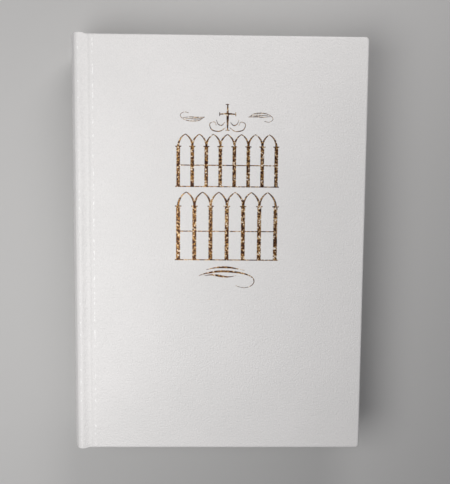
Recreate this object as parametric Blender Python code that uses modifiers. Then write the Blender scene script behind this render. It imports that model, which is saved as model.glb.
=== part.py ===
"""A case-bound bible lying closed on its back cover, built the way a binder makes one.

Frame: +Z up, +X from the spine to the fore edge, +Y from the tail to the head. The origin is under the
middle of the closed book, on the surface it lies on. All sizes are in metres.
"""

import math

import bpy

# The case.
BOOK_WIDTH = 0.150
BOOK_THICKNESS = 0.034
BOARD_HEIGHT = 0.210
SPINE_PROUD = 0.0006      # the spine cloth stands past the boards at head and tail
FORE_X = BOOK_WIDTH / 2
SPINE_X = -BOOK_WIDTH / 2
BOARD_SPINE_X = -0.063    # the boards end here, at the French groove
MID_Z = BOOK_THICKNESS / 2
HALF_HEIGHT = BOARD_HEIGHT / 2

# One cover, from its outer face inwards.
CLOTH = 0.00035
LAYER_GAP = 0.00005
BOARD = 0.00215
TURN_IN = 0.00025
TURN_IN_WIDTH = 0.015
MULL_FLAP_WIDTH = 0.030
MULL_FLAP_SHORTFALL = 0.0225
PASTEDOWN = 0.0001
COVER = 0.003
COVER_EDGE_ROUND = 0.0008
BOARD_EDGE_ROUND = 0.0005
SQUARE = 0.0032           # how far the boards stand past the leaves

# The text block.
LEAF = 0.00012
LEAF_PITCH = 0.00018
FRONT_LEAVES = 5
BACK_LEAVES = 2
SECTIONS = 26
SECTION_GAP = 0.00008
LEAF_HALF_HEIGHT = HALF_HEIGHT - SQUARE
LEAF_FORE_X = FORE_X - 0.0035
SECTION_WIDTH = 0.141

# The rounded spine: every layer follows x = crown + (z - MID_Z)^2 / SPINE_CURVE.
SPINE_CURVE = 0.0628
FOLD_DEPTH = 0.0026       # from the outside of the spine to the folds of the sections
SPINE_STEPS = 16
SPINE_CLOTH_EDGE_Z = 0.0012
# The layers under the spine cloth: name, depth, thickness, edge z, shortfall of its half height, finish.
LINING_LAYERS = (
    ("spine_glue", 0.00185, 0.00025, 0.0046, 0.001, "glue"),
    ("spine_mull", 0.00155, 0.00022, 0.0042, 0.012, "mull"),
    ("kraft_lining", 0.00120, 0.00026, 0.0044, 0.002, "kraft"),
)
STIFFENER_DEPTH = 0.00042
STIFFENER = 0.0005
STIFFENER_EDGE_Z = 0.0030
STIFFENER_SHORTFALL = 0.0002

# The French groove: the middle of the joint cloth as x and depth from the outer face.
JOINT_LINE = (
    (-0.0707, 0.00075),
    (-0.0701, 0.00052),
    (-0.0693, 0.00045),
    (-0.0684, 0.00060),
    (-0.0673, 0.00085),
    (-0.0658, 0.00100),
    (-0.0645, 0.00092),
    (-0.0637, 0.00066),
    (-0.0633, 0.00040),
)

# Sewing and end bands.
THREAD_RADIUS = 0.00014
THREAD_CLEARANCE = 0.00008
THREAD_START_Z = 0.0045
THREAD_STEP = 0.0005
THREAD_POINTS = 50
SEWING_STATIONS = (-0.75, -0.25, 0.25, 0.75)    # as shares of a leaf's half height
BAND_RADIUS = 0.0009
BAND_CLEARANCE = 0.0002
BAND_START_Z = 0.0046
BAND_STEP = 0.00062
BAND_POINTS = 41

# The hinges.
HINGE_X = -0.0684
HINGE_INSET = 0.0028      # from the outer face of a cover in to its hinge axis
FLYLEAF_HINGE_X = -0.0672
LEAF_HINGE_STEP = 0.0006  # each deeper leaf turns on a fold this much further from the spine
LEAF_ROOT_GAP = 0.0001

# Colours are linear RGB.
FINISHES = {
    "white_cloth": ((0.80, 0.81, 0.82), 0.42, 0.0),
    "grey_board": ((0.42, 0.39, 0.34), 0.9, 0.0),
    "bible_paper": ((0.84, 0.81, 0.74), 0.85, 0.0),
    "endpaper": ((0.83, 0.82, 0.78), 0.8, 0.0),
    "mull": ((0.72, 0.68, 0.58), 0.95, 0.0),
    "glue": ((0.62, 0.52, 0.36), 0.5, 0.0),
    "kraft": ((0.42, 0.27, 0.15), 0.85, 0.0),
    "band_silk": ((0.86, 0.85, 0.82), 0.7, 0.0),
    "linen_thread": ((0.78, 0.75, 0.66), 0.85, 0.0),
}


def clear_scene():
    for thing in list(bpy.data.objects):
        bpy.data.objects.remove(thing, do_unlink=True)


def make_collection(name):
    collection = bpy.data.collections.new(name)
    bpy.context.scene.collection.children.link(collection)
    return collection


def make_finish(name):
    colour, roughness, metallic = FINISHES[name]
    material = bpy.data.materials.new(name)
    material.use_nodes = True
    shader = material.node_tree.nodes["Principled BSDF"]
    shader.inputs["Base Color"].default_value = (*colour, 1.0)
    shader.inputs["Roughness"].default_value = roughness
    shader.inputs["Metallic"].default_value = metallic
    return material


clear_scene()
BOOK = make_collection("bible")
CUTTERS = make_collection("cutters")
MATERIALS = {name: make_finish(name) for name in FINISHES}


def move_to(thing, collection):
    for other in list(thing.users_collection):
        other.objects.unlink(thing)
    collection.objects.link(thing)


def box(name, low, high, finish=None, edge_round=0.0):
    """A box between two corners, with its edges rounded if asked."""
    bpy.ops.mesh.primitive_cube_add(size=1.0)
    thing = bpy.context.active_object
    thing.name = name
    thing.data.name = name
    thing.location = [(a + b) / 2 for a, b in zip(low, high)]
    thing.scale = [b - a for a, b in zip(low, high)]
    bpy.ops.object.transform_apply(location=False, rotation=False, scale=True)
    if finish:
        thing.data.materials.append(MATERIALS[finish])
        move_to(thing, BOOK)
    if edge_round:
        bevel = thing.modifiers.new("edge_round", "BEVEL")
        bevel.width = edge_round
        bevel.segments = 2
    return thing


def cut(thing, name, low, high):
    """Takes the box between two corners out of a piece."""
    cutter = box(name, low, high)
    move_to(cutter, CUTTERS)
    cutter.hide_render = True
    cutter.display_type = "WIRE"
    boolean = thing.modifiers.new(name, "BOOLEAN")
    boolean.operation = "DIFFERENCE"
    boolean.object = cutter


def prism(name, outline, half_height, finish):
    """A flat outline in the XZ plane, drawn out along Y to both sides of the middle."""
    curve = bpy.data.curves.new(name, "CURVE")
    curve.dimensions = "2D"
    curve.fill_mode = "BOTH"
    curve.extrude = half_height
    spline = curve.splines.new("POLY")
    spline.points.add(len(outline) - 1)
    for point, (x, z) in zip(spline.points, outline):
        point.co = (x, z, 0.0, 1.0)
    spline.use_cyclic_u = True
    curve.materials.append(MATERIALS[finish])
    thing = bpy.data.objects.new(name, curve)
    thing.rotation_euler = (math.pi / 2, 0.0, 0.0)
    BOOK.objects.link(thing)
    return thing


def tube(name, path, radius, finish):
    """A round cord through the points of a path."""
    curve = bpy.data.curves.new(name, "CURVE")
    curve.dimensions = "3D"
    curve.bevel_depth = radius
    curve.bevel_resolution = 2
    curve.use_fill_caps = True
    spline = curve.splines.new("POLY")
    spline.points.add(len(path) - 1)
    for point, place in zip(spline.points, path):
        point.co = (*place, 1.0)
    curve.materials.append(MATERIALS[finish])
    thing = bpy.data.objects.new(name, curve)
    BOOK.objects.link(thing)
    return thing


def strip_outline(line, thickness):
    """The outline of a strip of even thickness along a line of (x, z) points."""
    left, right = [], []
    for i, (x, z) in enumerate(line):
        x0, z0 = line[max(i - 1, 0)]
        x1, z1 = line[min(i + 1, len(line) - 1)]
        length = math.hypot(x1 - x0, z1 - z0)
        nx, nz = -(z1 - z0) / length, (x1 - x0) / length
        left.append((x + nx * thickness / 2, z + nz * thickness / 2))
        right.append((x - nx * thickness / 2, z - nz * thickness / 2))
    return left + right[::-1]


def spine_x(z, depth):
    """Where a layer of the rounded spine is, at height z and that depth from its outside."""
    return SPINE_X + depth + (z - MID_Z) ** 2 / SPINE_CURVE


def spine_layer(name, depth, thickness, edge_z, half_height, finish):
    """A layer of the spine that runs from edge_z up to the same distance from the top."""
    span = BOOK_THICKNESS - 2 * edge_z
    heights = [edge_z + span * i / SPINE_STEPS for i in range(SPINE_STEPS + 1)]
    line = [(spine_x(z, depth + thickness / 2), z) for z in heights]
    return prism(name, strip_outline(line, thickness), half_height, finish)


def height_at(side, depth):
    """The z of a depth from a cover's outer face: side is 1 on the front cover and -1 on the back."""
    return BOOK_THICKNESS - depth if side > 0 else depth


def layer_corners(side, x, half_height, depth):
    """Two corners of a flat layer of a cover, from (low, high) pairs of x and of depth."""
    z = sorted(height_at(side, d) for d in depth)
    return (x[0], -half_height, z[0]), (x[1], half_height, z[1])


def hinge_empty(name, x, z):
    empty = bpy.data.objects.new(name, None)
    empty.location = (x, 0.0, z)
    BOOK.objects.link(empty)
    bpy.context.view_layer.update()
    return empty


def hang(thing, empty):
    """Parents a piece to its hinge without moving it."""
    thing.parent = empty
    thing.matrix_parent_inverse = empty.matrix_world.inverted()


def cover(label, side):
    """One cover: board, cloth with its turn-ins, pastedown, and the mull flap under the pastedown."""
    hinge = hinge_empty(label + "_cover_hinge", HINGE_X, height_at(side, HINGE_INSET))
    board_depth = (CLOTH + LAYER_GAP, CLOTH + LAYER_GAP + BOARD)
    turn_in_depth = board_depth[1] + LAYER_GAP
    wall = CLOTH + LAYER_GAP
    board_x = (BOARD_SPINE_X + LAYER_GAP, FORE_X - wall)
    board = box(
        label + "_board",
        *layer_corners(side, board_x, HALF_HEIGHT - wall, board_depth),
        finish="grey_board",
        edge_round=BOARD_EDGE_ROUND,
    )
    cloth_depth = (0.0, turn_in_depth + TURN_IN)
    cloth = box(
        label + "_cover_cloth",
        *layer_corners(side, (BOARD_SPINE_X, FORE_X), HALF_HEIGHT, cloth_depth),
        finish="white_cloth",
        edge_round=COVER_EDGE_ROUND,
    )
    room_x = (BOARD_SPINE_X - TURN_IN_WIDTH, FORE_X - CLOTH)
    cut(
        cloth,
        label + "_board_room",
        *layer_corners(side, room_x, HALF_HEIGHT - CLOTH, (CLOTH, turn_in_depth)),
    )
    window_x = (BOARD_SPINE_X - TURN_IN_WIDTH, FORE_X - TURN_IN_WIDTH)
    window_depth = (BOARD / 2, COVER + TURN_IN_WIDTH)
    cut(
        cloth,
        label + "_turn_in_window",
        *layer_corners(side, window_x, HALF_HEIGHT - TURN_IN_WIDTH, window_depth),
    )
    pastedown_x = (BOARD_SPINE_X + LAYER_GAP, FORE_X - SQUARE)
    pastedown = box(
        label + "_pastedown",
        *layer_corners(side, pastedown_x, LEAF_HALF_HEIGHT, (COVER - PASTEDOWN, COVER)),
        finish="endpaper",
    )
    flap_x = (BOARD_SPINE_X + LAYER_GAP, BOARD_SPINE_X + MULL_FLAP_WIDTH)
    flap_depth = (turn_in_depth + LAYER_GAP, turn_in_depth + TURN_IN - LAYER_GAP)
    flap = box(
        label + "_mull_flap",
        *layer_corners(side, flap_x, HALF_HEIGHT - MULL_FLAP_SHORTFALL, flap_depth),
        finish="mull",
    )
    for thing in (board, cloth, pastedown, flap):
        hang(thing, hinge)


def joint_cloth(label, side):
    """The strip of cloth that dips into the French groove between the spine and a board."""
    line = [(x, height_at(side, depth)) for x, depth in JOINT_LINE]
    prism(label + "_joint_cloth", strip_outline(line, CLOTH), HALF_HEIGHT + SPINE_PROUD / 2, "white_cloth")


def leaf(name, hinge_x, z):
    """One free leaf, hung on the fold that it turns on."""
    thing = box(
        name,
        (hinge_x + LEAF_ROOT_GAP, -LEAF_HALF_HEIGHT, z - LEAF / 2),
        (LEAF_FORE_X, LEAF_HALF_HEIGHT, z + LEAF / 2),
        finish="endpaper" if "flyleaf" in name else "bible_paper",
    )
    hang(thing, hinge_empty(name + "_fold", hinge_x, z))


def leaves(label, side, count):
    """The flyleaf under a cover and the free leaves under it, each on its own fold."""
    for i in range(count + 1):
        name = label + "_flyleaf" if i == 0 else f"{label}_leaf_{i}"
        depth = COVER + LEAF_PITCH * (i + 0.5)
        leaf(name, FLYLEAF_HINGE_X + i * LEAF_HINGE_STEP, height_at(side, depth))


def sections():
    """The sewn sections, each with a round fold on the curve of the spine."""
    low = COVER + LEAF_PITCH * (BACK_LEAVES + 1)
    high = BOOK_THICKNESS - COVER - LEAF_PITCH * (FRONT_LEAVES + 1)
    pitch = (high - low) / SECTIONS
    radius = (pitch - SECTION_GAP) / 2
    for i in range(SECTIONS):
        z = low + pitch * (i + 0.5)
        fold_x = spine_x(z, FOLD_DEPTH)
        turns = [math.pi / 2 + math.pi * k / 6 for k in range(7)]
        fold = [(fold_x + radius * (1 + math.cos(a)), z + radius * math.sin(a)) for a in turns]
        fore_x = fold_x + SECTION_WIDTH
        outline = fold + [(fore_x, z - radius), (fore_x, z + radius)]
        prism(f"section_{i + 1:02d}", outline, LEAF_HALF_HEIGHT, "bible_paper")


def sewing_threads():
    """Four runs of thread that link the sections across their folds."""
    depth = FOLD_DEPTH - THREAD_RADIUS - THREAD_CLEARANCE
    heights = [THREAD_START_Z + THREAD_STEP * k for k in range(THREAD_POINTS)]
    for i, share in enumerate(SEWING_STATIONS):
        path = [(spine_x(z, depth), LEAF_HALF_HEIGHT * share, z) for z in heights]
        tube(f"sewing_thread_{i + 1}", path, THREAD_RADIUS, "linen_thread")


def end_band(name, side):
    """The silk-covered cord along the spine at the head (side 1) or the tail (side -1) of the block."""
    y = side * (LEAF_HALF_HEIGHT + BAND_RADIUS + BAND_CLEARANCE)
    heights = [BAND_START_Z + BAND_STEP * k for k in range(BAND_POINTS)]
    path = [(spine_x(z, FOLD_DEPTH + BAND_RADIUS), y, z) for z in heights]
    tube(name, path, BAND_RADIUS, "band_silk")


def spine_parts():
    """The layers of the spine, from the folds out: glue, mull, kraft lining, stiffener and cloth."""
    for name, depth, thickness, edge_z, shortfall, finish in LINING_LAYERS:
        spine_layer(name, depth, thickness, edge_z, LEAF_HALF_HEIGHT - shortfall, finish)
    stiffener_half_height = HALF_HEIGHT - STIFFENER_SHORTFALL
    spine_layer(
        "spine_stiffener", STIFFENER_DEPTH, STIFFENER, STIFFENER_EDGE_Z, stiffener_half_height, "grey_board"
    )
    spine_layer("spine_cloth", 0.0, CLOTH, SPINE_CLOTH_EDGE_Z, HALF_HEIGHT + SPINE_PROUD, "white_cloth")


cover("front", 1)
cover("back", -1)
joint_cloth("front", 1)
joint_cloth("back", -1)
leaves("front", 1, FRONT_LEAVES)
leaves("back", -1, BACK_LEAVES)
sections()
sewing_threads()
end_band("head_band", 1)
end_band("tail_band", -1)
spine_parts()
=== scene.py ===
"""A white case-bound bible with gilt ornament, lying closed on a pale floor.

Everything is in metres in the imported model's frame: +X from the spine to the fore edge, +Y to the head,
+Z from the back cover to the front cover.
"""

import math

import bpy
import numpy as np
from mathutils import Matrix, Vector, noise


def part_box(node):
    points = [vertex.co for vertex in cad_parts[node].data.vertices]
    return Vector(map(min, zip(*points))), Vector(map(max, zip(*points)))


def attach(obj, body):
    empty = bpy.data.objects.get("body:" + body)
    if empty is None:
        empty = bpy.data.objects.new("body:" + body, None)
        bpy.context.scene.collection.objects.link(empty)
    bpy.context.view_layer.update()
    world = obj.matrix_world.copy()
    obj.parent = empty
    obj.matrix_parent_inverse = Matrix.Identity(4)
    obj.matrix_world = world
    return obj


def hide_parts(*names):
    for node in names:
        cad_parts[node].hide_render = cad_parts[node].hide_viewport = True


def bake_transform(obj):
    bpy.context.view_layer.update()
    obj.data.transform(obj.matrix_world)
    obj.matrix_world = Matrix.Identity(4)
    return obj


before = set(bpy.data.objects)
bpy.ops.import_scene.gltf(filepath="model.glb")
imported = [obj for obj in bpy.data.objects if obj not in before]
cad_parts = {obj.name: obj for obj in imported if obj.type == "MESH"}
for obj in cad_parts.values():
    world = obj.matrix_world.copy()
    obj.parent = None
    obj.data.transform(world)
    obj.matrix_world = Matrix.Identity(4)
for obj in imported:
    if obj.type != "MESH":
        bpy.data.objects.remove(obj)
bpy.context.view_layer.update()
cover_low, cover_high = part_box("front_cover_cloth")
spine_low, spine_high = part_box("spine_cloth")
_, leaf_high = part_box("front_leaf_5")
first_section_low, first_section_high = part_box("section_01")
_, last_section_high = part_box("section_26")

# The closed book.
TOP = cover_high.z
MID_Z = TOP / 2
SPINE_X = spine_low.x
FORE_X = cover_high.x
BOARD_X = cover_low.x
BOARD_Y = cover_high.y
SPINE_Y = spine_high.y
SPINE_CURVE = 0.0628       # the spine is x = SPINE_X + (z - MID_Z)^2 / SPINE_CURVE
SHOULDER_Z = 0.0012        # the spine's curve ends this far from each outer face

# The covering.
CLOTH = 0.00028
BOARD_ROUND = 0.0009
SPINE_ROUND = 0.00045
BOARD_WALL = 0.00285       # how far the cloth goes down a board's edge
SPINE_WALL = 0.00100
CORNER_ROUND = 0.0010
SPINE_STEP = 0.0009
GROOVE_STEP = 0.00040
FLAT_STEP = 0.0024
CLOTH_ROWS = 220
SPINE_SPANS = 20
CORNER_STEPS = 4
CORNER_ROW_GAP = 0.004     # clear share of the height beside the corner's own rows
RIM_STEPS = 5
TURN_IN = 0.00022
TURN_IN_WIDTH = 0.0150
TURN_IN_INSET = 0.00045
TURN_IN_DEPTH = 0.00288
MITRE_GAP = 0.00012
# The French groove, as x and depth below the outer face.
GROOVE = (
    (-0.0705, 0.00080),
    (-0.0700, 0.00048),
    (-0.0694, 0.00024),
    (-0.0687, 0.00010),
    (-0.0681, 0.00015),
    (-0.0675, 0.00026),
    (-0.0668, 0.00042),
    (-0.0661, 0.00053),
    (-0.0654, 0.00060),
    (-0.0648, 0.00060),
    (-0.0642, 0.00051),
    (-0.0637, 0.00034),
    (-0.0632, 0.00018),
    (-0.0628, 0.00012),
    (-0.0622, 0.00012),
    (-0.0617, 0.00010),
    (-0.0613, 0.00003),
    (-0.0609, 0.0),
    (-0.0602, 0.0),
)
END_STEP = (-0.0672, -0.0652)          # the cloth's ends step from the spine's height to the board's
BOARD_RIM_START = (-0.0650, -0.0622)   # its rim grows to the board's between these

# The cloth's unevenness: how high, and from where to where across the groove.
GENTLE_RELIEF = 0.00005
LIVELY_RELIEF = 0.00006
EDGE_RELIEF = 0.00022
RIDGES_START, RIDGES_END = (-0.0704, -0.0692), (-0.0616, -0.0602)
EDGE_START, EDGE_END = (-0.0620, -0.0613), (-0.0611, -0.0604)

# The covering's finish.
PEBBLE_SCALE = 1250.0
GRAIN_DEPTH = 0.00015
# The grain's pits, below its mean height, are darkened in colour by a share of their depth: painted shade.
GRAIN_MEAN = 0.18
GRAIN_PAINTED_SHADE = 0.6
# Painted highlights: whiter colour set in dotted lines along the groove's edges, standing in for glints of
# reflected light.
PAINTED_GLINT_WHITE = (0.985, 0.985, 0.98)
SPECK_LINES = ((-0.0619, 0.53), (-0.0692, 0.59))   # x of a dotted line, and how rare its specks are
SPECK_SCALE = 900.0
SPECK_REACH = 0.00032
SPECK_EDGE = 9.0

# The strip of endpaper across each hinge.
STRIP_START_X = -0.0682
STRIP_WIDTH = 0.0058
STRIP_DEPTH = 0.00296
STRIP_PAPER = 0.00008
STRIP_STEPS = 28

# The leaves and their print.
LEAVES = 208
LEAF_SHARE = 0.84          # of the pitch that a leaf fills
FOLD_INSET = 0.0026
LEAF_UNEVENNESS = 0.00009
LEAF_SEEDS = (3, 8)
PRINT_COLUMNS = ((-0.052, 0.0005), (0.0055, 0.058))
PRINT_HEIGHT = (-0.088, 0.086)
LINE_PITCH = 0.0034
LINE_BAND = (0.3, 0.72)
PRINT_INK = (0.16, 0.155, 0.15)
INK_STRENGTH = 0.42

# The head and tail bands.
BAND_CORE = 0.00062
BAND_THREAD = 0.00020
BAND_INSET = 0.0035
BAND_STEPS = 32

# The gilt ornament.
FOIL = 0.00003
STROKE_LIFT = 0.0000025
BARE_FROM = 0.625          # the foil is broken through where its pattern is above this
ORNAMENT_X = 0.0050
THIN_STROKE = 0.00055
ARCH_STEPS = 12
TRANSOM_AT = 0.54
ARCADE_WIDTH = 0.0491
TIERS = (                  # name, bays, foot, height of a shaft and its thickness
    ("upper_arcade", 7, 0.0302, 0.0202, 0.0018),
    ("lower_arcade", 6, -0.0068, 0.0274, 0.0020),
)
SPINE_BAYS, SPINE_PITCH = 8, 0.0062
SPINE_SHAFT, SPINE_THICK = 0.0040, 0.0017
SPINE_ROW_DROP = 0.0042
SPINE_ROW_HEAD_Y = 0.0680

# The stage: each light's name, place, target, size, power and colour.
LIGHTS = (
    ("lamp", (-0.20, -0.06, 0.40), (-0.20, -0.0599, 0.0), 0.34, 1.31, (1.0, 0.985, 0.972)),
    ("window", (0.10, 0.35, 0.30), (0, 0.02, 0.03), 0.24, 0.75, (1.0, 0.975, 0.965)),
)
WORLD_COLOUR = (0.92, 0.93, 1.0, 1.0)
WORLD_STRENGTH = 0.125
FLOOR_HALF = 3.0
CAMERA_LENS = 44.417
CAMERA_AT = (-0.0017, 0.0272, 0.3353)
CAMERA_TURN = (-4.676, -1.080, 0.476)


# ---------------------------------------------------------------- materials


def new_material(name, roughness):
    """A new material; returns it with its node tree and its Principled shader."""
    material = bpy.data.materials.new(name)
    material.use_nodes = True
    shader = material.node_tree.nodes["Principled BSDF"]
    shader.inputs["Roughness"].default_value = roughness
    return material, material.node_tree, shader


def place(tree, scale=(1.0, 1.0, 1.0)):
    """Object coordinates, stretched by a scale on each axis."""
    coordinates = tree.nodes.new("ShaderNodeTexCoord")
    mapping = tree.nodes.new("ShaderNodeMapping")
    mapping.inputs["Scale"].default_value = scale
    tree.links.new(coordinates.outputs["Object"], mapping.inputs["Vector"])
    return mapping.outputs["Vector"]


def noise_field(tree, vector, scale, detail=2.0, roughness=0.5):
    node = tree.nodes.new("ShaderNodeTexNoise")
    node.inputs["Scale"].default_value = scale
    node.inputs["Detail"].default_value = detail
    node.inputs["Roughness"].default_value = roughness
    tree.links.new(vector, node.inputs["Vector"])
    return node.outputs["Fac"]


def cell_field(tree, vector, scale, smooth=0.6):
    node = tree.nodes.new("ShaderNodeTexVoronoi")
    node.feature = "SMOOTH_F1"
    node.inputs["Scale"].default_value = scale
    node.inputs["Smoothness"].default_value = smooth
    tree.links.new(vector, node.inputs["Vector"])
    return node.outputs["Distance"]


def ramp(tree, value, *stops):
    """A colour ramp from (position, colour) stops."""
    node = tree.nodes.new("ShaderNodeValToRGB")
    elements = node.color_ramp.elements
    while len(elements) < len(stops):
        elements.new(0.5)
    for element, (position, colour) in zip(elements, stops):
        element.position = position
        element.color = (*colour, 1.0)
    tree.links.new(value, node.inputs["Fac"])
    return node.outputs["Color"]


def arithmetic(tree, operation, a, b=0.0):
    """A Math node on two numbers or sockets, for material and geometry trees alike."""
    node = tree.nodes.new("ShaderNodeMath")
    node.operation = operation
    for socket, value in zip(node.inputs, (a, b)):
        if isinstance(value, bpy.types.NodeSocket):
            tree.links.new(value, socket)
        else:
            socket.default_value = value
    return node.outputs["Value"]


def blended(tree, share, first, second):
    """A colour that goes from the first to the plain second one as share goes from 0 to 1."""
    node = tree.nodes.new("ShaderNodeMix")
    node.data_type = "RGBA"
    tree.links.new(share, node.inputs["Factor"])
    tree.links.new(first, node.inputs["A"])
    node.inputs["B"].default_value = (*second, 1.0)
    return node.outputs["Result"]


def bump(tree, shader, height, strength, distance, under=None):
    node = tree.nodes.new("ShaderNodeBump")
    node.inputs["Strength"].default_value = strength
    node.inputs["Distance"].default_value = distance
    tree.links.new(height, node.inputs["Height"])
    if under is not None:
        tree.links.new(under, node.inputs["Normal"])
    tree.links.new(node.outputs["Normal"], shader.inputs["Normal"])
    return node.outputs["Normal"]


def grain_height(tree):
    """The pebbled grain that is pressed into the covering."""
    vector = place(tree)
    pebbles = cell_field(tree, vector, PEBBLE_SCALE)
    fine = noise_field(tree, vector, 2600.0, 3.0)
    return arithmetic(tree, "ADD", arithmetic(tree, "MULTIPLY", pebbles, -0.9), fine)


def painted_glint_specks(tree):
    """Painted highlights: specks of whiter colour in a dotted line on the board's edge, and fewer on the
    spine's edge, standing in for glints of reflected light.
    """
    split = tree.nodes.new("ShaderNodeSeparateXYZ")
    tree.links.new(place(tree), split.inputs["Vector"])
    spread = noise_field(tree, place(tree, (1.0, 0.55, 0.1)), SPECK_SCALE, 1.0)
    specks = 0.0
    for line_x, cut in SPECK_LINES:
        away = arithmetic(tree, "ABSOLUTE", arithmetic(tree, "SUBTRACT", split.outputs["X"], line_x))
        near = arithmetic(tree, "LESS_THAN", away, SPECK_REACH)
        bright = arithmetic(tree, "MULTIPLY", arithmetic(tree, "SUBTRACT", spread, cut), SPECK_EDGE)
        bright = arithmetic(tree, "MINIMUM", arithmetic(tree, "MAXIMUM", bright, 0.0), 1.0)
        specks = arithmetic(tree, "ADD", arithmetic(tree, "MULTIPLY", near, bright), specks)
    return specks


def white_leathercloth():
    """Satin white coated cloth with a fine pressed grain and a faint unevenness of tone, with painted shade
    darkening the grain's pits and a dotted line of painted highlights.
    """
    material, tree, shader = new_material("white_leathercloth", 0.40)
    grain = grain_height(tree)
    # Painted shade: the colour is darkened where the grain is low, in its pits.
    pit_painted_shade = arithmetic(tree, "MULTIPLY", arithmetic(tree, "SUBTRACT", grain, GRAIN_MEAN), GRAIN_PAINTED_SHADE)
    tone = arithmetic(tree, "ADD", noise_field(tree, place(tree), 22.0, 3.0), pit_painted_shade)
    colour = ramp(tree, tone, (0.25, (0.795, 0.79, 0.783)), (0.75, (0.85, 0.84, 0.835)))
    # Painted highlights: the specks are whiter base colour fixed on the cloth, where glints of reflected
    # light would be.
    glinted = blended(tree, painted_glint_specks(tree), colour, PAINTED_GLINT_WHITE)
    tree.links.new(glinted, shader.inputs["Base Color"])
    shader.inputs["Coat Weight"].default_value = 0.12
    shader.inputs["Coat Roughness"].default_value = 0.32
    soft = bump(tree, shader, noise_field(tree, place(tree), 140.0, 2.0), 0.25, 0.0003)
    bump(tree, shader, grain, 1.0, GRAIN_DEPTH, soft)
    return material


def broken_gilt():
    """Gold foil broken up by the grain under it: bright gold and bare white, with dark brown patches of
    painted reflection standing in for dark surroundings mirrored in the foil.
    """
    material, tree, shader = new_material("broken_gilt", 0.34)
    vector = place(tree)
    patches = noise_field(tree, vector, PEBBLE_SCALE, 3.0, 0.6)
    # The dark brown stops are painted reflection of dark surroundings; the gold is the foil's own and the
    # bare white is foil broken through to the cloth.
    colour = ramp(
        tree,
        patches,
        (0.44, (0.036, 0.012, 0.006)),
        (0.50, (0.14, 0.050, 0.014)),
        (0.545, (0.36, 0.17, 0.035)),
        (0.59, (0.70, 0.46, 0.14)),
        (BARE_FROM, (0.80, 0.78, 0.75)),
    )
    tree.links.new(colour, shader.inputs["Base Color"])
    metal = ramp(tree, patches, (0.58, (0.70, 0.70, 0.70)), (BARE_FROM, (0.0, 0.0, 0.0)))
    tree.links.new(metal, shader.inputs["Metallic"])
    bump(tree, shader, grain_height(tree), 0.7, 0.00010)
    return material


def paper_fibres(tree, shader, light, dark):
    vector = place(tree)
    flecks = noise_field(tree, vector, 420.0, 4.0)
    colour = ramp(tree, flecks, (0.3, dark), (0.7, light))
    bump(tree, shader, noise_field(tree, vector, 1800.0, 2.0), 0.25, 0.00004)
    return colour


def endpaper():
    material, tree, shader = new_material("endpaper_stock", 0.78)
    colour = paper_fibres(tree, shader, (0.84, 0.83, 0.80), (0.79, 0.78, 0.745))
    tree.links.new(colour, shader.inputs["Base Color"])
    return material


def leaf_edges():
    """The trimmed edges of the leaves: thin streaks of slightly different tone, one to a leaf."""
    material, tree, shader = new_material("leaf_edge_paper", 0.82)
    streaks = noise_field(tree, place(tree, (14.0, 14.0, 5200.0)), 1.0, 2.0)
    colour = ramp(tree, streaks, (0.30, (0.70, 0.665, 0.58)), (0.70, (0.87, 0.845, 0.78)))
    tree.links.new(colour, shader.inputs["Base Color"])
    bump(tree, shader, streaks, 0.35, 0.00006)
    return material


def band(tree, value, low, high):
    """1 where a value lies between two limits."""
    above = arithmetic(tree, "GREATER_THAN", value, low)
    return arithmetic(tree, "MULTIPLY", above, arithmetic(tree, "LESS_THAN", value, high))


def printed_paper():
    """Thin paper with two columns of set lines that read only as grey texture."""
    material, tree, shader = new_material("printed_bible_paper", 0.8)
    paper = paper_fibres(tree, shader, (0.86, 0.84, 0.775), (0.82, 0.795, 0.72))
    split = tree.nodes.new("ShaderNodeSeparateXYZ")
    tree.links.new(place(tree), split.inputs["Vector"])
    x, y = split.outputs["X"], split.outputs["Y"]
    columns = arithmetic(tree, "ADD", *[band(tree, x, *limits) for limits in PRINT_COLUMNS])
    rows = arithmetic(tree, "FRACT", arithmetic(tree, "MULTIPLY", y, 1.0 / LINE_PITCH))
    lines = arithmetic(tree, "MULTIPLY", band(tree, rows, *LINE_BAND), band(tree, y, *PRINT_HEIGHT))
    words = noise_field(tree, place(tree, (620.0, 294.0, 1.0)), 1.0, 1.0)
    marks = arithmetic(tree, "MULTIPLY", lines, arithmetic(tree, "GREATER_THAN", words, 0.43))
    ink = arithmetic(tree, "MULTIPLY", arithmetic(tree, "MULTIPLY", marks, columns), INK_STRENGTH)
    tree.links.new(blended(tree, ink, paper, PRINT_INK), shader.inputs["Base Color"])
    return material


def mottled(name, light, dark, roughness, scale, bump_depth):
    """A plain stock with flecks of two tones, such as board, kraft paper or dried glue."""
    material, tree, shader = new_material(name, roughness)
    vector = place(tree)
    flecks = noise_field(tree, vector, scale, 4.0, 0.6)
    tree.links.new(ramp(tree, flecks, (0.3, dark), (0.7, light)), shader.inputs["Base Color"])
    bump(tree, shader, flecks, 0.5, bump_depth)
    return material


def gauze():
    """Starched open gauze: threads both ways."""
    material, tree, shader = new_material("starched_mull", 0.9)
    weave = None
    for direction in ("Y", "Z"):
        wave = tree.nodes.new("ShaderNodeTexWave")
        wave.bands_direction = direction
        wave.inputs["Scale"].default_value = 160.0
        wave.inputs["Distortion"].default_value = 0.4
        tree.links.new(place(tree), wave.inputs["Vector"])
        threads = wave.outputs["Fac"]
        weave = threads if weave is None else arithmetic(tree, "MAXIMUM", weave, threads)
    colour = ramp(tree, weave, (0.2, (0.45, 0.41, 0.33)), (0.8, (0.76, 0.73, 0.64)))
    tree.links.new(colour, shader.inputs["Base Color"])
    bump(tree, shader, weave, 0.6, 0.0001)
    return material


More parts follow.
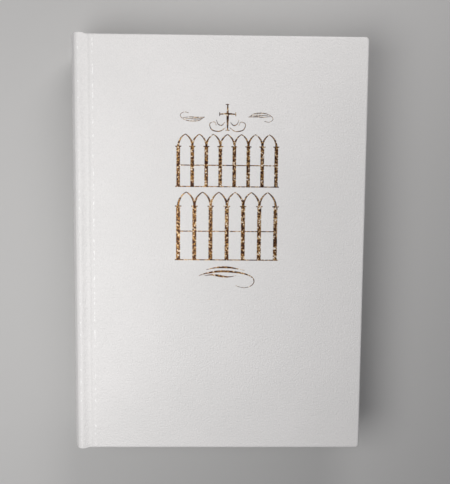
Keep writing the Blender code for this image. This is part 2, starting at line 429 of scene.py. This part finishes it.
def silk(name, light, dark):
    material, tree, shader = new_material(name, 0.5)
    tone = noise_field(tree, place(tree), 900.0, 3.0)
    tree.links.new(ramp(tree, tone, (0.3, dark), (0.7, light)), shader.inputs["Base Color"])
    shader.inputs["Sheen Weight"].default_value = 0.3
    bump(tree, shader, tone, 0.4, 0.00005)
    return material


def pale_floor():
    material, tree, shader = new_material("pale_floor", 0.75)
    tone = noise_field(tree, place(tree), 3.0, 2.0)
    colour = ramp(tree, tone, (0.3, (0.52, 0.52, 0.515)), (0.7, (0.55, 0.55, 0.545)))
    tree.links.new(colour, shader.inputs["Base Color"])
    return material


CLOTH_FINISH = white_leathercloth()
GILT = broken_gilt()
ENDPAPER = endpaper()
PRINTED = printed_paper()
LEAF_EDGES = leaf_edges()
GREYBOARD = mottled("greyboard", (0.47, 0.44, 0.39), (0.33, 0.30, 0.26), 0.9, 700.0, 0.0001)
KRAFT = mottled("kraft_stock", (0.47, 0.31, 0.18), (0.36, 0.22, 0.12), 0.85, 500.0, 0.00006)
GLUE = mottled("dried_glue", (0.66, 0.56, 0.40), (0.55, 0.44, 0.28), 0.42, 300.0, 0.0001)
MULL = gauze()
BAND_SILK = silk("band_silk_thread", (0.88, 0.87, 0.84), (0.70, 0.69, 0.66))
THREAD = silk("waxed_linen", (0.80, 0.77, 0.68), (0.66, 0.62, 0.52))


# ---------------------------------------------------------------- mesh helpers


def mesh_piece(name, points, faces, material, smooth=True):
    mesh = bpy.data.meshes.new(name)
    mesh.from_pydata([tuple(p) for p in points], [], faces)
    mesh.materials.append(material)
    mesh.validate()
    if smooth:
        mesh.shade_smooth()
    thing = bpy.data.objects.new(name, mesh)
    bpy.context.scene.collection.objects.link(thing)
    return thing


def settle(thing):
    """Turns an object with modifiers into a plain mesh object of the same name, and removes the old one."""
    bpy.context.view_layer.update()
    graph = bpy.context.evaluated_depsgraph_get()
    mesh = bpy.data.meshes.new_from_object(thing.evaluated_get(graph), depsgraph=graph)
    name = thing.name
    bpy.data.objects.remove(thing, do_unlink=True)
    mesh.name = name
    plain = bpy.data.objects.new(name, mesh)
    bpy.context.scene.collection.objects.link(plain)
    return plain


def thicken(thing, thickness, sharp_angle=50.0):
    """Gives a sheet its thickness, inwards from its outer face, with crisp rims."""
    wall = thing.modifiers.new("thickness", "SOLIDIFY")
    wall.thickness = thickness
    wall.offset = -1.0
    plain = settle(thing)
    plain.data.shade_smooth()
    plain.data.set_sharp_from_angle(angle=math.radians(sharp_angle))
    return plain


def through(points, step_at):
    """A smooth line through (x, z) points; step_at gives the spacing of its samples at a point."""
    p = np.array(points, float)
    p = np.vstack([2 * p[0] - p[1], p, 2 * p[-1] - p[-2]])
    line = []
    for a, b, c, d in zip(p[:-3], p[1:-2], p[2:-1], p[3:]):
        count = max(2, round(np.linalg.norm(c - b) / step_at(*b)))
        for t in np.arange(count) / count:
            bend, twist = 2 * a - 5 * b + 4 * c - d, 3 * b - a - 3 * c + d
            line.append(0.5 * (2 * b + (c - a) * t + bend * t**2 + twist * t**3))
    line.append(p[-2])
    return np.array(line)


def ease(value, low, high):
    """0 below low, 1 above high, and smooth between."""
    t = min(max((value - low) / (high - low), 0.0), 1.0)
    return t * t * (3 - 2 * t)


# ---------------------------------------------------------------- covering


def spine_point(z, out=0.0):
    return SPINE_X + (z - MID_Z) ** 2 / SPINE_CURVE - out, z


def covering_line(with_spine):
    """The front covering's outer face as (x, z): from the spine, over the groove, to the fore edge."""
    spine = []
    if with_spine:
        span = TOP - 2 * SHOULDER_Z
        spine = [spine_point(SHOULDER_Z + span * i / SPINE_SPANS) for i in range(SPINE_SPANS + 1)]
    groove = [(x, TOP - depth) for x, depth in GROOVE]
    near = through(spine + groove, lambda x, z: GROOVE_STEP if z > TOP - 2 * SHOULDER_Z else SPINE_STEP)
    end = FORE_X - BOARD_ROUND
    corner = [end - CORNER_ROUND * k / CORNER_STEPS for k in range(CORNER_STEPS, -1, -1)]
    count = round((corner[0] - GROOVE[-1][0]) / FLAT_STEP)
    flat = [GROOVE[-1][0] + (corner[0] - GROOVE[-1][0]) * i / count for i in range(1, count)]
    return np.vstack([near, [(x, TOP) for x in flat + corner]])


def round_plan_corner(x, y):
    """Turns a square fore corner into a round one, in plan."""
    cx = FORE_X - BOARD_ROUND - CORNER_ROUND
    cy = BOARD_Y - BOARD_ROUND - CORNER_ROUND
    p, q = (x - cx) / CORNER_ROUND, (abs(y) - cy) / CORNER_ROUND
    if p <= 0 or q <= 0:
        return x, y
    shrink = max(p, q) / math.hypot(p, q)
    return cx + CORNER_ROUND * p * shrink, math.copysign(cy + CORNER_ROUND * q * shrink, y)


def cloth_relief(x, y, z):
    """Small unevenness of the glued cloth: gentle over the boards, livelier on the groove's ridges."""
    gentle = noise.noise(Vector((x * 38.0, y * 38.0, z * 38.0))) * GENTLE_RELIEF
    lively = noise.noise(Vector((x * 300.0, y * 520.0, z * 300.0))) * LIVELY_RELIEF
    ridge = ease(x, *RIDGES_START) * (1 - ease(x, *RIDGES_END))
    edge = max(noise.noise(Vector((7.0, y * 420.0, 3.0))), 0.0) * EDGE_RELIEF
    edge *= ease(x, *EDGE_START) * (1 - ease(x, *EDGE_END))
    return gentle + lively * ridge + edge


def covering(name, side, with_spine):
    """One continuous cloth over a board and its groove; side is 1 on the front cover and -1 on the back."""
    line = covering_line(with_spine)
    tangent = np.gradient(line, axis=0)
    tangent /= np.linalg.norm(tangent, axis=1)[:, None]
    rows = [-1 + 2 * j / CLOTH_ROWS for j in range(CLOTH_ROWS + 1)]
    corner_rows = [1 - CORNER_ROUND / BOARD_Y * k / CORNER_STEPS for k in range(CORNER_STEPS, 0, -1)]
    rows = [v for v in rows if abs(v) < corner_rows[0] - CORNER_ROW_GAP or abs(v) == 1]
    rows = sorted(rows + corner_rows + [-v for v in corner_rows])
    columns, count = len(line), len(rows)
    points, inward, rounds, walls = [], [], [], []
    for (x, z), (tx, tz) in zip(line, tangent):
        on_board = ease(x, *BOARD_RIM_START) if z > MID_Z else 0.0
        edge_y = SPINE_Y + (BOARD_Y - SPINE_Y) * (ease(x, *END_STEP) if z > MID_Z else 0.0)
        radius = SPINE_ROUND + (BOARD_ROUND - SPINE_ROUND) * on_board
        normal = np.array((-tz, 0.0, tx))
        for v in rows:
            px, py = round_plan_corner(x, v * (edge_y - radius))
            lift = cloth_relief(px, py, z)
            points.append(np.array((px, py, z)) + normal * lift)
        inward.append(-normal)
        rounds.append(radius)
        walls.append(SPINE_WALL + (BOARD_WALL - SPINE_WALL) * on_board)
    at = lambda i, j: i * count + j
    cells = [(i, j) for i in range(columns - 1) for j in range(count - 1)]
    faces = [(at(i, j), at(i + 1, j), at(i + 1, j + 1), at(i, j + 1)) for i, j in cells]
    rim = [(i, 0) for i in range(columns)] + [(columns - 1, j) for j in range(1, count)]
    rim += [(i, count - 1) for i in range(columns - 2, -1, -1)]
    core_x = FORE_X - BOARD_ROUND - CORNER_ROUND
    corner_y = BOARD_Y - BOARD_ROUND - CORNER_ROUND
    turns = [math.pi / 2 * k / RIM_STEPS for k in range(1, RIM_STEPS + 1)]
    profile = [(math.sin(a), 1 - math.cos(a), 0.0) for a in turns]
    profile += [(1.0, 1.0, s) for s in (0.5, 1.0)]
    previous = [at(i, j) for i, j in rim]
    for out, down, wall in profile:
        current = []
        for i, j in rim:
            base = points[at(i, j)]
            core_y = corner_y if line[i][0] > core_x - 1e-6 else abs(base[1]) - 1e-4
            dx = max(base[0] - core_x, 0.0)
            dy = max(abs(base[1]) - core_y, 0.0)
            if i < columns - CORNER_STEPS - 1:
                dx, dy = 0.0, 1.0
            away = np.array((dx, math.copysign(dy, base[1]), 0.0)) / math.hypot(dx, dy)
            depth = rounds[i] * down + (walls[i] - rounds[i]) * wall
            points.append(base + away * rounds[i] * out + inward[i] * depth)
            current.append(len(points) - 1)
        for b in range(len(rim) - 1):
            faces.append((previous[b], current[b], current[b + 1], previous[b + 1]))
        previous = current
    if side < 0:
        points = [(x, y, TOP - z) for x, y, z in points]
        faces = [face[::-1] for face in faces]
    return thicken(mesh_piece(name, points, faces, CLOTH_FINISH), CLOTH)


def turn_ins(name, side):
    """The cloth folded in over the inner face of a board on three sides, with mitred corners."""
    inner, gap = TURN_IN_WIDTH, MITRE_GAP
    x0, x1, y1 = BOARD_X + 0.0001, FORE_X - TURN_IN_INSET, BOARD_Y - TURN_IN_INSET
    outline = (
        ((x0, y1), (x1 - gap, y1), (x1 - inner - gap, y1 - inner), (x0, y1 - inner)),
        ((x1, y1 - gap), (x1, -y1 + gap), (x1 - inner, -y1 + inner + gap), (x1 - inner, y1 - inner - gap)),
        ((x1 - gap, -y1), (x0, -y1), (x0, -y1 + inner), (x1 - inner - gap, -y1 + inner)),
    )
    z = TOP - TURN_IN_DEPTH if side > 0 else TURN_IN_DEPTH
    points, faces = [], []
    for strip in outline:
        first = len(points)
        points += [(x, y, z) for x, y in strip]
        face = tuple(range(first, first + 4))
        faces.append(face if side > 0 else face[::-1])
    return thicken(mesh_piece(name, points, faces, CLOTH_FINISH, smooth=False), TURN_IN, 30.0)


def endpaper_joint(name, side):
    """The strip of endpaper that crosses the hinge from the flyleaf's fold to the pastedown."""
    z = TOP - STRIP_DEPTH if side > 0 else STRIP_DEPTH
    line = [STRIP_START_X + STRIP_WIDTH * i / STRIP_STEPS for i in range(STRIP_STEPS + 1)]
    half = leaf_high.y
    points = [(x, y, z) for x in line for y in (-half, 0.0, half)]
    faces = []
    for i in range(STRIP_STEPS):
        for j in range(2):
            a = i * 3 + j
            face = (a, a + 3, a + 4, a + 1)
            faces.append(face if side > 0 else face[::-1])
    return thicken(mesh_piece(name, points, faces, ENDPAPER), STRIP_PAPER)


def dress_covers():
    for label, side in (("front", 1), ("back", -1)):
        body = label + "_cover"
        cloth = covering(label + "_covering", side, with_spine=side > 0)
        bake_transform(cloth)
        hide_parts(body + "_cloth", label + "_joint_cloth")
        if side > 0:
            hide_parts("spine_cloth")
        folded = turn_ins(label + "_turn_ins", side)
        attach(folded, body)
        strip = endpaper_joint(label + "_endpaper_joint", side)
        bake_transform(strip)


# ---------------------------------------------------------------- geometry node helpers


def new_tree(name, inputs):
    """A node tree with named inputs; returns it with its input and output nodes."""
    tree = bpy.data.node_groups.new(name, "GeometryNodeTree")
    tree.interface.new_socket("Geometry", in_out="INPUT", socket_type="NodeSocketGeometry")
    for label, kind in inputs:
        tree.interface.new_socket(label, in_out="INPUT", socket_type="NodeSocket" + kind)
    tree.interface.new_socket("Geometry", in_out="OUTPUT", socket_type="NodeSocketGeometry")
    return tree, tree.nodes.new("NodeGroupInput").outputs, tree.nodes.new("NodeGroupOutput")


def add(tree, kind, settings=None, **inputs):
    """Adds a node; inputs are values or sockets by name, with _ for spaces."""
    node = tree.nodes.new(kind)
    for key, value in (settings or {}).items():
        setattr(node, key, value)
    for key, value in inputs.items():
        socket = node.inputs[key.replace("_", " ")]
        if isinstance(value, bpy.types.NodeSocket):
            tree.links.new(value, socket)
        else:
            socket.default_value = value
    return node


def grow(name, tree, values, host_data=None):
    """Runs a tree on a host object and returns the result as a plain mesh object."""
    host = bpy.data.objects.new(name, host_data or bpy.data.meshes.new(name))
    bpy.context.scene.collection.objects.link(host)
    modifier = host.modifiers.new(name, "NODES")
    modifier.node_group = tree
    for item in tree.interface.items_tree:
        if item.in_out == "INPUT" and item.name in values:
            modifier[item.identifier] = values[item.name]
    return settle(host)


def finish_tree(tree, output, geometry, material):
    """Ends a tree in Realize Instances and Set Material."""
    real = add(tree, "GeometryNodeRealizeInstances", Geometry=geometry)
    painted = add(tree, "GeometryNodeSetMaterial", Geometry=real.outputs["Geometry"], Material=material)
    tree.links.new(painted.outputs["Geometry"], output.inputs["Geometry"])


# ---------------------------------------------------------------- text block


def leaf_stack():
    """The trimmed leaves of the sewn sections, each a little longer or shorter than its neighbours."""
    inputs = (
        ("Leaves", "Int"),
        ("Pitch", "Float"),
        ("Leaf Size", "Vector"),
        ("First Leaf", "Vector"),
        ("Curve", "Float"),
        ("Middle", "Float"),
        ("Unevenness", "Float"),
        ("Paper", "Material"),
    )
    tree, given, output = new_tree("leaf_stack", inputs)
    step = add(tree, "ShaderNodeCombineXYZ", Z=given["Pitch"])
    line = add(tree, "GeometryNodeMeshLine", Count=given["Leaves"], Start_Location=given["First Leaf"])
    tree.links.new(step.outputs["Vector"], line.inputs["Offset"])
    position = add(tree, "GeometryNodeInputPosition").outputs["Position"]
    place_of = add(tree, "ShaderNodeSeparateXYZ", Vector=position)
    rise = arithmetic(tree, "SUBTRACT", place_of.outputs["Z"], given["Middle"])
    bulge = arithmetic(tree, "DIVIDE", arithmetic(tree, "MULTIPLY", rise, rise), given["Curve"])
    wander = []
    for seed in LEAF_SEEDS:
        spread = arithmetic(tree, "MULTIPLY", given["Unevenness"], -1.0)
        node = add(tree, "FunctionNodeRandomValue", {"data_type": "FLOAT"}, Seed=seed)
        tree.links.new(spread, node.inputs[2])
        tree.links.new(given["Unevenness"], node.inputs[3])
        wander.append(node.outputs[1])
    shift = add(tree, "ShaderNodeCombineXYZ", X=arithmetic(tree, "ADD", bulge, wander[0]), Y=wander[1])
    bent = shift.outputs["Vector"]
    moved = add(tree, "GeometryNodeSetPosition", Geometry=line.outputs["Mesh"], Offset=bent)
    leaf = add(tree, "GeometryNodeMeshCube", Size=given["Leaf Size"]).outputs["Mesh"]
    placed = add(tree, "GeometryNodeInstanceOnPoints", Points=moved.outputs["Geometry"], Instance=leaf)
    finish_tree(tree, output, placed.outputs["Instances"], given["Paper"])
    low, high = first_section_low.z, last_section_high.z
    pitch = (high - low) / LEAVES
    width = first_section_high.x - first_section_low.x
    values = {
        "Leaves": LEAVES,
        "Pitch": pitch,
        "Leaf Size": (width - 0.0004, 2 * leaf_high.y - 0.0002, pitch * LEAF_SHARE),
        "First Leaf": (SPINE_X + FOLD_INSET + width / 2, 0.0, low + pitch / 2),
        "Curve": SPINE_CURVE,
        "Middle": MID_Z,
        "Unevenness": LEAF_UNEVENNESS,
        "Paper": LEAF_EDGES,
    }
    block = grow("leaf_stack", tree, values)
    block.data.materials.append(PRINTED)
    for face in block.data.polygons:
        face.material_index = 1 if abs(face.normal.z) > 0.5 else 0
    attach(block, "text_block")
    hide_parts(*[f"section_{i:02d}" for i in range(1, 27)])


def wound_band_tree():
    """Silk wound closely round a cord that follows the host's curve."""
    tree, given, output = new_tree(
        "wound_band", (("Core Radius", "Float"), ("Thread Radius", "Float"), ("Silk", "Material"))
    )
    circle = "GeometryNodeCurvePrimitiveCircle"
    core_ring = add(tree, circle, Resolution=14, Radius=given["Core Radius"]).outputs["Curve"]
    core = add(tree, "GeometryNodeCurveToMesh", Curve=given["Geometry"], Profile_Curve=core_ring)
    core.inputs["Fill Caps"].default_value = True
    thread_ring = add(tree, circle, Resolution=6, Radius=given["Thread Radius"]).outputs["Curve"]
    turn = add(tree, "GeometryNodeCurveToMesh", Curve=core_ring, Profile_Curve=thread_ring)
    pitch = arithmetic(tree, "MULTIPLY", given["Thread Radius"], 2.05)
    spots = add(tree, "GeometryNodeCurveToPoints", {"mode": "LENGTH"}, Curve=given["Geometry"], Length=pitch)
    turns = add(
        tree,
        "GeometryNodeInstanceOnPoints",
        Points=spots.outputs["Points"],
        Instance=turn.outputs["Mesh"],
        Rotation=spots.outputs["Rotation"],
    )
    both = tree.nodes.new("GeometryNodeJoinGeometry")
    tree.links.new(core.outputs["Mesh"], both.inputs["Geometry"])
    tree.links.new(turns.outputs["Instances"], both.inputs["Geometry"])
    finish_tree(tree, output, both.outputs["Geometry"], given["Silk"])
    return tree


def end_bands():
    tree = wound_band_tree()
    for name in ("head_band", "tail_band"):
        low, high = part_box(name)
        curve = bpy.data.curves.new(name + "_path", "CURVE")
        curve.dimensions = "3D"
        spline = curve.splines.new("POLY")
        spline.points.add(BAND_STEPS)
        for i, point in enumerate(spline.points):
            z = low.z + (high.z - low.z) * i / BAND_STEPS
            point.co = (spine_point(z)[0] + BAND_INSET, (low.y + high.y) / 2, z, 1.0)
        values = {"Core Radius": BAND_CORE, "Thread Radius": BAND_THREAD, "Silk": BAND_SILK}
        wound = grow("wound_" + name, tree, values, curve)
        wound.data.shade_smooth()
        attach(wound, "text_block")
        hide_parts(name)


# ---------------------------------------------------------------- gilt ornament


def stroke(line, widths, z=0.0):
    """A pen stroke: a flat strip along a line of (x, y) points, as wide at each point as widths says."""
    line = np.array(line, float)
    tangent = np.gradient(line, axis=0)
    tangent /= np.maximum(np.linalg.norm(tangent, axis=1), 1e-9)[:, None]
    side = np.stack([-tangent[:, 1], tangent[:, 0]], axis=1) * (np.array(widths)[:, None] / 2)
    left, right = line + side, line - side
    points = [(x, y, z) for x, y in np.vstack([right, left])]
    count = len(line)
    faces = [(i, i + 1, count + i + 1, count + i) for i in range(count - 1)]
    return points, faces


def gather(strokes):
    """Joins strokes, each a hair above the last so that crossing strokes never share a surface."""
    points, faces = [], []
    for k, (p, f) in enumerate(strokes):
        first = len(points)
        points += [(x, y, z + k * STROKE_LIFT) for x, y, z in p]
        faces += [tuple(first + k for k in face) for face in f]
    return points, faces


def straight(x0, y0, x1, y1, width, steps=10):
    t = [i / steps for i in range(steps + 1)]
    return stroke([(x0 + (x1 - x0) * s, y0 + (y1 - y0) * s) for s in t], [width] * (steps + 1))


def swelling(points, widest, peak=0.5, thinnest=0.00022, step=0.0004):
    """A pen stroke through some points, thin at its ends and widest at peak, a share of its length."""
    line = through(points, lambda x, y: step)
    t = np.linspace(0, 1, len(line)) ** (math.log(0.5) / math.log(peak))
    return stroke(line, thinnest + (widest - thinnest) * np.sin(math.pi * t) ** 2)


def lay_foil(name, strokes, lift=TOP):
    points, faces = gather(strokes)
    points = [(x, y, lift + FOIL + z) for x, y, z in points]
    return thicken(mesh_piece(name, points, faces, GILT, smooth=False), FOIL * 0.8, 30.0)


def column_strokes(height, thick):
    """A column of the arcade: a thick shaft between a thin base and a thin cap."""
    foot = thick * 0.5 + 0.0006
    return [
        straight(0, 0, 0, height, thick, 16),
        straight(-foot, THIN_STROKE / 2, foot, THIN_STROKE / 2, THIN_STROKE, 4),
        straight(-foot, height, foot, height, THIN_STROKE, 4),
    ]


def arch_strokes(height, pitch, thick):
    """A pointed arch between two columns, heavy at its feet and light at its point, with transom and sill."""
    reach = pitch / 2
    strokes = []
    for way in (1, -1):
        turns = [math.radians(60) * i / ARCH_STEPS for i in range(ARCH_STEPS + 1)]
        line = [(reach + way * (reach - pitch * math.cos(a)), height + pitch * math.sin(a)) for a in turns]
        strokes.append(stroke(line, [thick * (0.64 - 0.40 * a) for a in turns]))
    for y in (THIN_STROKE / 2, height * TRANSOM_AT):
        strokes.append(straight(thick / 2, y, pitch - thick / 2, y, THIN_STROKE * 0.9, 6))
    return strokes


def arcade_tree():
    """A row of columns with arches between them."""
    inputs = (
        ("Bays", "Int"),
        ("Pitch", "Float"),
        ("Start", "Vector"),
        ("Column", "Object"),
        ("Arch", "Object"),
        ("Foil", "Material"),
    )
    tree, given, output = new_tree("arcade", inputs)
    step = add(tree, "ShaderNodeCombineXYZ", X=given["Pitch"])
    both = tree.nodes.new("GeometryNodeJoinGeometry")
    for label, extra in (("Column", 1.0), ("Arch", 0.0)):
        line = add(
            tree,
            "GeometryNodeMeshLine",
            Count=arithmetic(tree, "ADD", given["Bays"], extra),
            Start_Location=given["Start"],
            Offset=step.outputs["Vector"],
        )
        shape = add(tree, "GeometryNodeObjectInfo", {"transform_space": "ORIGINAL"}, Object=given[label])
        placed = add(
            tree,
            "GeometryNodeInstanceOnPoints",
            Points=line.outputs["Mesh"],
            Instance=shape.outputs["Geometry"],
        )
        tree.links.new(placed.outputs["Instances"], both.inputs["Geometry"])
    finish_tree(tree, output, both.outputs["Geometry"], given["Foil"])
    return tree


def arcade(name, tree, bays, pitch, start, shaft, thick, lift=TOP):
    """One tier of the arcade; start is the foot of its first column."""
    shapes = {
        "Column": lay_foil(name + "_column", column_strokes(shaft, thick), lift),
        "Arch": lay_foil(name + "_arch", arch_strokes(shaft, pitch, thick), lift + 4 * STROKE_LIFT),
    }
    tier = grow(name, tree, {"Bays": bays, "Pitch": pitch, "Start": start, "Foil": GILT, **shapes})
    for shape in shapes.values():
        bpy.data.objects.remove(shape, do_unlink=True)
    return tier


def beside(points):
    """Points given from the ornament's middle line, in millimetres, as places on the cover."""
    return [(ORNAMENT_X + x / 1000, y / 1000) for x, y in points]


def both_ways(points, widest, peak=0.5):
    """A stroke and its mirror image in the ornament's middle line."""
    other = [(-x, y) for x, y in points]
    return [swelling(beside(points), widest, peak), swelling(beside(other), widest, peak)]


def crest():
    """The small pen-drawn cross over the arcade, with curls on each side."""
    low, arm, high = 0.0585, 0.0664, 0.0712
    x = ORNAMENT_X
    strokes = [swelling([(x, low), (x, arm), (x, high)], 0.00115, 0.5, 0.0006)]
    strokes.append(swelling([(x - 0.0040, arm), (x, arm + 0.0002), (x + 0.0040, arm)], 0.0009, 0.5, 0.0005))
    for y in (low, high):
        strokes.append(straight(x - 0.0010, y, x + 0.0010, y, 0.0004, 3))
    for side in (-0.0040, 0.0040):
        strokes.append(straight(x + side, arm - 0.0009, x + side, arm + 0.0009, 0.0004, 3))
    scroll = [(-1.0, 59.8), (-4.0, 58.0), (-7.8, 58.7), (-8.9, 61.6), (-6.6, 62.6), (-5.6, 60.9)]
    leaf = [(-1.4, 62.4), (-3.0, 60.9), (-4.8, 61.6), (-5.6, 63.6)]
    strokes += both_ways(scroll, 0.0005, 0.35) + both_ways(leaf, 0.00045, 0.4)
    return strokes


def side_flourishes():
    """A flourish on each side of the cross; the right one is the left one turned half round."""
    curl = [(-19.4, 66.9), (-21.6, 67.3), (-23.4, 66.3), (-23.3, 64.9)]
    curl += [(-20.9, 63.4), (-17.5, 62.9), (-14.1, 63.3), (-11.7, 64.9)]
    strokes = (
        (curl, 0.00042, 0.70),
        ([(-22.3, 64.5), (-18.8, 64.9), (-15.4, 64.7), (-11.3, 64.9)], 0.0005, 0.60),
        ([(-21.2, 64.1), (-18.1, 64.0), (-14.8, 63.9), (-12.4, 64.4)], 0.0004, 0.60),
    )
    laid = []
    for points, widest, peak in strokes:
        turned = [(-1.0 - x, 130.0 - y) for x, y in points]
        laid += [swelling(beside(points), widest, peak), swelling(beside(turned), widest, peak)]
    return laid


def foot_flourish():
    """Three long pen strokes under the arcade, the middle one running out into a curl."""
    upper = [(-11.3, -11.9), (-7.1, -10.8), (-3.3, -10.3), (1.6, -10.4), (5.8, -11.1), (9.2, -11.8)]
    middle = [(-14.0, -14.6), (-10.2, -13.4), (-4.7, -12.5), (0.2, -12.4), (5.8, -12.9), (10.0, -13.8)]
    middle += [(13.2, -15.4), (14.1, -17.7), (12.5, -19.8), (9.4, -20.7), (6.6, -20.3), (4.8, -19.6)]
    lower = [(-11.6, -14.8), (-8.1, -14.2), (-4.6, -14.5), (-1.1, -15.1), (2.3, -15.1), (4.8, -14.4)]
    strokes = ((upper, 0.0010, 0.5), (middle, 0.00108, 0.30), (lower, 0.0011, 0.5))
    return [swelling(beside(points), widest, peak) for points, widest, peak in strokes]


def gild_cover():
    tree = arcade_tree()
    first = ORNAMENT_X - ARCADE_WIDTH / 2
    pieces = [
        arcade(name, tree, bays, ARCADE_WIDTH / bays, (first, foot, 0.0), shaft, thick)
        for name, bays, foot, shaft, thick in TIERS
    ]
    pieces.append(lay_foil("gilt_cross", crest()))
    pieces.append(lay_foil("side_flourishes", side_flourishes()))
    pieces.append(lay_foil("foot_flourish", foot_flourish()))
    for piece in pieces:
        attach(piece, "front_cover")
    return tree


def gild_spine(tree):
    """A small arcade along the spine, curved to it."""
    start = (0.0, 0.0, 0.0)
    row = arcade("spine_arcade", tree, SPINE_BAYS, SPINE_PITCH, start, SPINE_SHAFT, SPINE_THICK, lift=0.0)
    for vertex in row.data.vertices:
        along, up, lift = vertex.co
        z = MID_Z - SPINE_ROW_DROP + up
        vertex.co = (spine_point(z, lift + FOIL)[0], SPINE_ROW_HEAD_Y - along, z)
    row.data.flip_normals()
    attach(row, "text_block")


# ---------------------------------------------------------------- carried-over nodes


def dress_nodes():
    """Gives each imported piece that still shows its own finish."""
    finishes = {
        "board": GREYBOARD,
        "spine_stiffener": GREYBOARD,
        "pastedown": ENDPAPER,
        "flyleaf": ENDPAPER,
        "_leaf_": PRINTED,
        "mull": MULL,
        "spine_glue": GLUE,
        "kraft": KRAFT,
        "sewing_thread": THREAD,
    }
    for name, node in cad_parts.items():
        for word, material in finishes.items():
            if word in name:
                node.data.materials.clear()
                node.data.materials.append(material)


# ---------------------------------------------------------------- stage, lights and camera


def make_floor():
    half = FLOOR_HALF
    corners = [(-half, -half, 0), (half, -half, 0), (half, half, 0), (-half, half, 0)]
    floor = mesh_piece("floor", corners, [(0, 1, 2, 3)], pale_floor(), smooth=False)


def area_light(name, location, target, size, power, colour):
    light = bpy.data.lights.new(name, "AREA")
    light.shape = "DISK"
    light.size = size
    light.energy = power
    light.color = colour
    lamp = bpy.data.objects.new(name, light)
    lamp.location = location
    lamp.rotation_euler = (Vector(target) - Vector(location)).to_track_quat("-Z", "Y").to_euler()
    bpy.context.scene.collection.objects.link(lamp)


def light_stage():
    """A large soft lamp over the spine side, aimed straight down, and a weaker window beyond the head."""
    for lamp in LIGHTS:
        area_light(*lamp)
    world = bpy.data.worlds.new("studio")
    world.use_nodes = True
    background = world.node_tree.nodes["Background"]
    background.inputs["Color"].default_value = WORLD_COLOUR
    background.inputs["Strength"].default_value = WORLD_STRENGTH
    bpy.context.scene.world = world
    bpy.context.scene.view_settings.view_transform = "Standard"


def make_camera():
    """Straight down on the cover from a little towards the head."""
    camera = bpy.data.cameras.new("camera")
    camera.lens = CAMERA_LENS
    camera.sensor_width = 36.0
    eye = bpy.data.objects.new("camera", camera)
    eye.location = CAMERA_AT
    eye.rotation_euler = [math.radians(a) for a in CAMERA_TURN]
    camera.clip_start = 0.01
    bpy.context.scene.collection.objects.link(eye)
    bpy.context.scene.camera = eye


make_camera()
light_stage()
make_floor()
dress_covers()
leaf_stack()
end_bands()
gild_spine(gild_cover())
dress_nodes()

bpy.context.view_layer.update()
